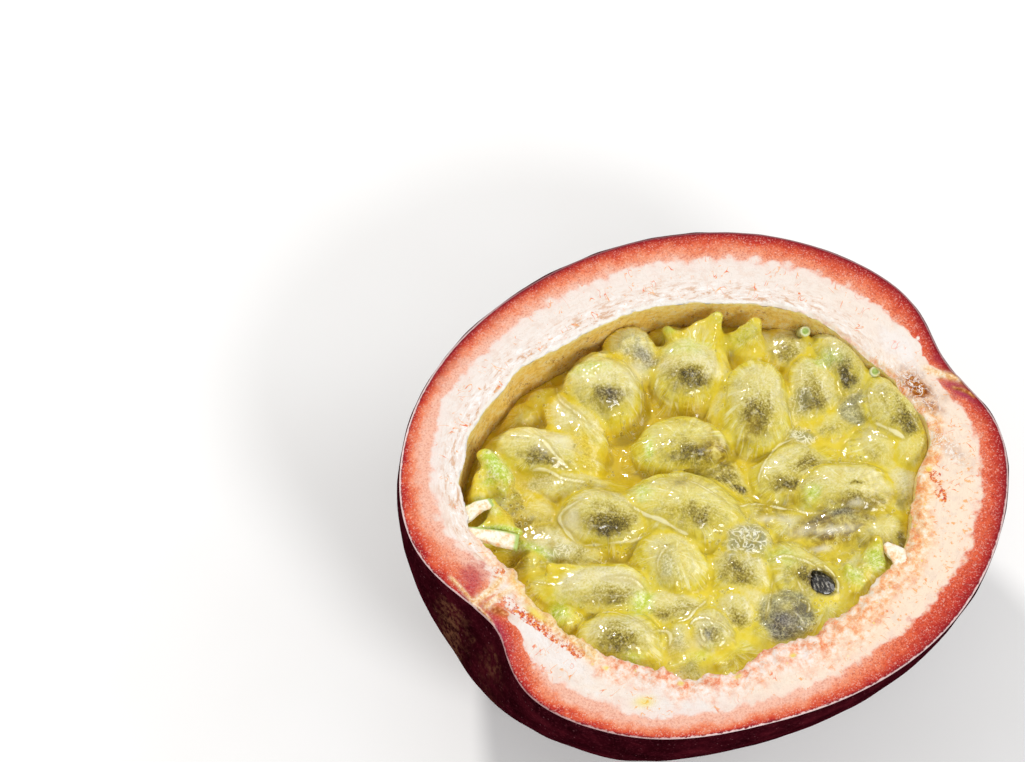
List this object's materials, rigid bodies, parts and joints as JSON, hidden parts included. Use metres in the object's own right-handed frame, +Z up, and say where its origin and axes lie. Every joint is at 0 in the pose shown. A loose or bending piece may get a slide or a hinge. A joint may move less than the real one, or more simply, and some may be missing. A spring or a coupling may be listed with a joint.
{
  "type": "passion fruit half",
  "caption": "Half of a ripe purple passion fruit, cut lengthwise: a rind bowl with a thick white pith, filled with a heap of juicy yellow arils round dark seeds.",
  "frame": {"origin": "on the ground, under the middle of the fruit's outline", "axes": "+Z up, out of the level cut face; +X from the stem end to the tip of the fruit, -Y to the side where the pulp reaches the cut face"},
  "size_m": [0.0594, 0.0553, 0.0275],
  "materials": {
    "rind": "satin dark purple skin, red layer and white pith at the cut",
    "pulp": "wet, translucent yellow-green sacs",
    "seed": "wet, near-black seed"
  },
  "bodies": {
    "root": {"rind_and_pith": "rind", "pulp": "pulp"}
  },
  "joints": []
}
